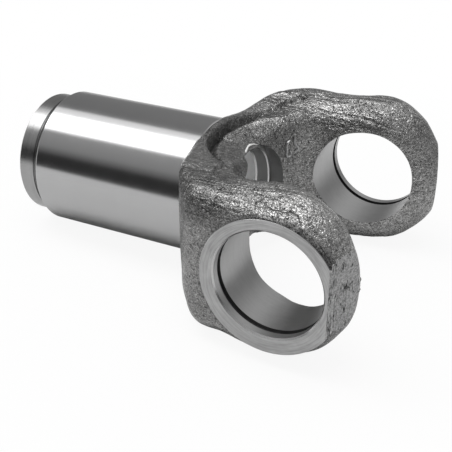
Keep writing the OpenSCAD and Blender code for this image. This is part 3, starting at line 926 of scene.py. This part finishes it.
def forged_steel():
    """Dull scaled skin of a shot-cleaned forging: mottled and pitted, with painted highlight on the crests
    and painted shade in the crotch and beside the lands.
    """
    f, at = new_finish("forged_skin")
    x, y, z = f.split(at)
    broad = f.noise(at, 9, 2)
    mottle = f.noise(f.moved(at, shift=(31, 7, 3)), 2.2, 3, 0.6)
    grain = f.noise(f.moved(at, shift=(5, 17, 23)), 0.9, 2, 0.6).rises(0.32, 0.68)
    flow = f.noise(f.moved(at, (0.16, 1, 1), (2, 19, 7)), 1.0, 3, 0.6, 0.4)
    fine = f.noise(f.moved(at, shift=(15, 1, 8)), 0.42, 1, 0.5).rises(0.33, 0.67)
    folds = abs(f.noise(f.moved(at, shift=(13, 11, 2)), 1.3, 2, 0.5, 0.8) - 0.5) * 2
    pits = f.noise(f.moved(at, shift=(3, 2, 29)), 1.1, 1).rises(0.64, 0.74)
    valleys = 1 - folds.rises(0.0, 0.12)
    lines = (f.noise(f.moved(at, shift=(8, 3, 41)), 2.6, 2, 0.6, 1.5) - 0.5).line(0.004, 0.022)
    cracks = lines * f.noise(at, 4.5, 1).rises(0.46, 0.6) * z.rises(10, 17)

    # The long fold over the near bore, and the flow lines along both arms
    fold = (y + 42.35 + 0.35 * (x * 0.9).wave() + 1.6 * (mottle - 0.5)).line(0.05, 0.22)
    cracks = cracks.at_least(fold * z.rises(15, 17) * x.rises(-2, -1) * x.rises(9, 7.5))
    lanes = (f.noise(f.moved(at, (0.045, 1, 0.4), (2, 9, 17)), 2.6, 1, 0.5) - 0.5).line(0.02, 0.085)
    lanes = lanes * z.rises(13, 17) * x.rises(10, 2) * abs(y).rises(22, 25) * (1 - 0.4 * y.rises(0, -10))

    # Painted shade and painted highlight, set by place: darker in the crotch's corner, on the near cheek, the
    # flanks, the crotch's dome and the trench beside each land; lighter on highlight lines along the rim, on
    # the crests and above the near tip
    from_fan = distance(x - RIM_CENTRE_X, y)
    # Painted shade in the crotch's corner between the rim and the dome, kept lighter on the near side
    corner = from_fan.rises(20.8, 21.8) * from_fan.rises(25.2, 23.6) * z.rises(12, 15) * x.rises(-20, -28)
    corner = corner * (1 - 0.7 * y.rises(-6, -15))
    wander = 1.2 * (mottle - 0.5)
    # Painted highlight lines along the rim's fillets, following its curve
    streaks = (from_fan - 20.2 + wander).line(0.1, 0.6) + (from_fan - 17.9 + wander).line(0.1, 0.7)
    streaks = streaks * z.rises(11, 14) * x.rises(-20, -28)
    # Painted shade on the inner top of the near arm
    painted_cheek_shade = x.rises(-5, -18) * y.rises(-30, -34) * z.rises(10, 15)
    # Painted shade on the outer flanks below the top
    painted_flank_shade = abs(y).rises(38, 42) * z.rises(17, 12)
    # Painted shade on the dome in the crotch
    dome = from_fan.rises(20, 17.5) * z.rises(6, 10) * x.rises(-18, -22)
    # Painted highlight over the tops of the arms and ears
    painted_crest_highlight = abs(y).rises(24, 27) * z.rises(16.5, 19.5)
    from_bore = distance(x, z + FORGING_DROP)
    # Painted shadow in the trench beside each milled land, strongest above the tip
    painted_trench_shadow = from_bore.rises(19.0, 19.3) * from_bore.rises(20.9, 20.1) * abs(y).rises(40, 41.5)
    painted_trench_shadow = painted_trench_shadow * (0.3 + 0.7 * x.rises(2, 8) * z.rises(2, 8))
    # Painted light on the near ear's slope above the tip
    above_tip = x.rises(3, 8) * z.rises(5, 11) * y.rises(-33, -37)
    painted_light_and_shade = (1 - 0.42 * corner) * (1 + 0.3 * streaks) * (1 - 0.5 * painted_cheek_shade) * (1 - 0.2 * painted_flank_shade)
    painted_light_and_shade = painted_light_and_shade * (1 - 0.22 * dome) * (1 + 0.2 * painted_crest_highlight) * (1 - 0.5 * painted_trench_shadow) * (1 + 0.25 * above_tip)

    tone = varied(FORGED_GREY * painted_light_and_shade, (0.3, broad), (0.4, mottle), (0.7, flow), (0.35, grain), (0.62, fine))
    tone = tone * (1 - 0.5 * pits) * (1 - 0.3 * valleys) * (1 - 0.7 * cracks) * (1 - 0.45 * lanes)
    rough = 0.22 + 0.3 * (mottle - 0.5) + 0.2 * pits + 0.1 * valleys + 0.2 * cracks
    relief = grain * 0.14 + fine * 0.1 + folds * 0.4 + mottle * 0.3 + flow * 0.5 \
        - pits * 0.3 - cracks * 0.5 - lanes * 0.2
    return f.metal(f.grey(tone, FORGED_TINT), rough, 0.9, relief, 0.5)


def milled_face():
    """The faced ring round a bearing bore, with the cutter's fine circles."""
    f, at = new_finish("milled_face")
    x, y, z = f.split(at)
    r = distance(x, z + FORGING_DROP)
    circles = f.noise(f.add("ShaderNodeCombineXYZ", None, {0: r, 1: x * 0.05, 2: z * 0.05}), 0.34, 2, 0.6)
    circles = circles.rises(0.3, 0.7)
    cloud = f.noise(at, 2.4, 3)
    tone = varied(MILLED_GREY, (0.3, circles), (0.4, cloud))
    return f.metal(f.grey(tone), 0.36 + 0.2 * (cloud - 0.5), 1.0, circles, 0.014)


def bored_wall():
    """The bearing bores: fine rings from boring, satin."""
    f, at = new_finish("bored_wall")
    rings = f.noise(f.moved(at, (0.05, 1, 0.05)), 0.3, 2, 0.6)
    cloud = f.noise(at, 3, 3)
    tone = varied(BORED_GREY, (0.25, rings), (0.3, cloud))
    return f.metal(f.grey(tone), 0.34 + 0.2 * (cloud - 0.5), 1.0, rings, 0.015)


def sheared_face():
    """The trimmed tips: smooth where the blade pressed, torn towards the outer side."""
    f, at = new_finish("sheared_tip")
    x, y, z = f.split(at)
    torn = abs(y).rises(41.4, 42.8)
    streaks = f.noise(f.moved(at, (1, 1, 0.15)), 0.45, 3, 0.6).rises(0.3, 0.7)
    grain = f.noise(at, 0.5, 2, 0.6).rises(0.33, 0.67)
    mottle = f.noise(at, 1.6, 3, 0.6)
    cracks = (f.noise(f.moved(at, (1.2, 1.2, 0.3), (4, 4, 4)), 1.3, 2, 0.6, 0.3) - 0.5).line(0.008, 0.04)
    cracks = cracks * f.noise(f.moved(at, (1, 1, 0.6), (9, 9, 2)), 2.2, 1).rises(0.5, 0.58)
    tone = varied(SHEARED_GREY, (0.15 + 0.6 * torn, streaks), (0.6, grain), (0.25, mottle))
    rough = 0.4 + 0.2 * (mottle - 0.5) + 0.2 * cracks
    relief = streaks * (0.1 + 0.3 * torn) + grain * 0.4 + mottle * 0.3 - cracks
    return f.metal(f.grey(tone * (1 - 0.85 * cracks)), rough, 0.95, relief, 0.12)


def ground_barrel():
    """Ground and polished: fine rings round the barrel and a soft gloss."""
    f, at = new_finish("ground_barrel")
    rings = f.noise(f.moved(at, (1, 0.02, 0.02)), 0.22, 2, 0.6)
    cloud = f.noise(at, 6, 2)
    tone = varied(GROUND_GREY, (0.06, rings), (0.05, cloud))
    return f.metal(f.grey(tone, GROUND_TINT), 0.16 + 0.05 * (cloud - 0.5), 1.0, rings, 0.0012)


def satin_turned():
    """The turned lip and its cone: fine tool marks, softer gloss."""
    f, at = new_finish("satin_lip")
    rings = f.noise(f.moved(at, (1, 0.02, 0.02)), 0.3, 2, 0.6)
    return f.metal(f.grey(varied(SATIN_GREY, (0.5, rings))), 0.24, 1.0, rings, 0.006)


def turned_face():
    """The faced shoulder and the seat in the crotch."""
    f, at = new_finish("turned_face")
    x, y, z = f.split(at)
    r = distance(y, z)
    circles = f.noise(f.add("ShaderNodeCombineXYZ", None, {0: r, 1: x, 2: y * 0.04}), 0.3, 2, 0.6)
    return f.metal(f.grey(varied(TURNED_GREY, (0.5, circles))), 0.38, 1.0, circles, 0.03)


def inside_steel():
    """Machined steel inside the bores, darker than the open machined faces."""
    f, at = new_finish("inside_steel")
    cloud = f.noise(at, 1.5, 3)
    return f.metal(f.grey(varied(INSIDE_GREY, (0.5, cloud))), 0.42, 0.9, cloud, 0.03)


def edge_steel():
    """Narrow broken edges, bright from the tool."""
    f, at = new_finish("broken_edge")
    cloud = f.noise(at, 0.8, 2)
    return f.metal(f.grey(varied(EDGE_GREY, (0.2, cloud))), 0.25, 1.0)


def burr_with_painted_glint():
    """Freshly torn steel, given a near-white, barely metallic colour that shows bright from every side: a
    painted glint.
    """
    return Finish(bpy.data.materials.new("burr_with_painted_glint")).metal(BURR_PAINTED_GLINT, 0.4, 0.2)


def plug_steel():
    """The pressed plug: pale sheet with a faint cloud."""
    f, at = new_finish("plug_sheet")
    cloud = f.noise(at, 2.2, 3)
    tone = varied(PLUG_GREY, (0.2, cloud))
    return f.metal(f.grey(tone), 0.36 + 0.1 * (cloud - 0.5), 0.25, cloud, 0.02)


# The studio

BALANCE_X = -0.04


def floor_angle(data):
    """The plane that the resting yoke stands on: its slope along x and its height at x 0.

    It is the edge of the lower outline, seen along y, that lies under the yoke's balance point.
    """
    p = np.empty(len(data.vertices) * 3)
    data.vertices.foreach_get("co", p)
    p = p.reshape(-1, 3)
    order = np.lexsort((p[:, 2], p[:, 0]))
    hull = []
    for x, z in p[order][:, [0, 2]]:
        while len(hull) > 1 and (hull[-1][0] - hull[-2][0]) * (z - hull[-2][1]) \
                - (hull[-1][1] - hull[-2][1]) * (x - hull[-2][0]) <= 0:
            hull.pop()
        hull.append((x, z))
    for (x0, z0), (x1, z1) in zip(hull, hull[1:]):
        if x0 <= BALANCE_X < x1:
            slope = (z1 - z0) / (x1 - x0)
            return slope, z0 - slope * x0
    raise ValueError("the yoke has no resting edge")


FLOOR_REACH, FLOOR_GAP = 4.0, 0.0002


def make_floor(slope, height):
    """The paper that the yoke rests on, tilted to touch its lip and its ears."""
    corners = [(x * FLOOR_REACH, y * FLOOR_REACH, 0) for x, y in ((-1, -1), (1, -1), (1, 1), (-1, 1))]
    data = bpy.data.meshes.new("floor")
    data.from_pydata(corners, [], [(0, 1, 2, 3)])
    floor = placed("floor", data)
    floor.location = (0, 0, height - FLOOR_GAP)
    floor.rotation_euler = (0, -math.atan(slope), 0)
    data.materials.append(floor_paper())


def floor_paper():
    """White paper: it keeps the shadow near the object and runs out to plain white to the camera; to
    reflections it has a painted glow in front of the yoke and painted shade at the near end and on the far
    side.
    """
    f, at = new_finish("floor_paper")
    x, y, z = f.split(at)
    away = distance(x + 35, y)
    path = f.add("ShaderNodeLightPath").socket.node
    camera, glossy, through = (Value(f, path.outputs[n]) for n in
                               ("Is Camera Ray", "Is Glossy Ray", "Is Transmission Ray"))
    mirrored = glossy + through
    # A painted glow on the paper in front of the yoke, seen only in reflections
    painted_front_glow = (0 - y).rises(30, 75) * 0.2
    seen = camera * (0.91 + 0.09 * away.rises(60, 200)) + mirrored * away.rises(75, 215).at_least(painted_front_glow)
    paper = f.add("ShaderNodeBsdfDiffuse", None, {"Color": (0.9, 0.9, 0.9, 1)})
    # Painted shade on the paper, seen only in reflections: darker at the near end and on the far side
    near_end = (0 - y).rises(225, 262)
    painted_reflection_shade = mirrored * (0.93 * near_end + 0.45 * y.rises(30, 110))
    white = f.add("ShaderNodeEmission", None, {"Color": f.grey(1 - painted_reflection_shade), "Strength": 1.0})
    return f.close(f.add("ShaderNodeMixShader", None, {0: seen, 1: paper, 2: white}))


LAMP_LENGTH, LAMP_AWAY, LAMP_AIM_X = 0.95, 0.8, -0.03


def make_softbox(name, angle, width, power):
    """A long soft lamp overhead, at that angle from the vertical towards the near side."""
    data = bpy.data.lights.new(name, "AREA")
    data.shape = "RECTANGLE"
    data.size, data.size_y, data.energy = LAMP_LENGTH, width, power
    lamp = placed(name, data)
    toward = Vector((-0.25, -math.sin(math.radians(angle)), math.cos(math.radians(angle)))).normalized()
    across = toward.cross(Vector((1, 0, 0))).normalized()
    turn = Matrix((across.cross(toward), across, toward)).transposed().to_4x4()
    lamp.matrix_world = Matrix.Translation(Vector((LAMP_AIM_X, 0, 0)) + toward * LAMP_AWAY) @ turn
    lamp.visible_camera = False


# The walls' grey by the angle round the barrel, and the pale card behind
WALLS = [(-180, 0.30), (-110, 0.30), (-90, 0.28), (-30, 0.28), (-14, 0.36), (38, 0.50), (56, 0.42),
         (72, 0.05), (94, 0.05), (104, 0.30), (180, 0.30)]
CARD_TOWARD, CARD_LIGHT, CARD_TIGHT = (0.18, 0.78, 0.60), 0.55, 11.4


def make_room():
    """A plain room: white to the camera, with pale walls and one dark gap for the metal to show."""
    world = bpy.data.worlds.new("room")
    bpy.context.scene.world = world
    f = Finish(world)
    direction = f.add("ShaderNodeTexCoord", out="Generated")
    x, y, z = f.split(direction)
    turn = f.add("ShaderNodeMath", {"operation": "ARCTAN2"}, {0: 0 - y, 1: z})
    share = turn * (1 / (2 * math.pi)) + 0.5
    tone = f.add("ShaderNodeValToRGB", {"stops": [((a + 180) / 360, v) for a, v in WALLS]}, {0: share})
    facing = f.add("ShaderNodeVectorMath", {"operation": "DOT_PRODUCT"},
                   {0: direction, 1: CARD_TOWARD}, "Value")
    card = f.add("ShaderNodeMath", {"operation": "EXPONENT"}, {0: (facing - 1) * CARD_TIGHT})
    light = tone + CARD_LIGHT * card
    seen = f.add("ShaderNodeLightPath", out="Is Camera Ray")
    colour = f.grey(seen + (1 - seen) * light)
    f.close(f.add("ShaderNodeBackground", None, {"Color": colour, "Strength": 1.0}), "ShaderNodeOutputWorld")


YOKE_FINISHES = [forged_steel(), milled_face(), bored_wall(), sheared_face(), ground_barrel(), satin_turned(),
                 turned_face(), inside_steel(), edge_steel(), burr_with_painted_glint()]

yoke = make_yoke()
plug = make_plug()
make_floor(*floor_angle(yoke.data))
make_softbox("wide_softbox", 4, 0.62, 2.2)
make_softbox("narrow_softbox", 10, 0.38, 3.2)
make_room()

bpy.context.scene.view_settings.view_transform = "Standard"
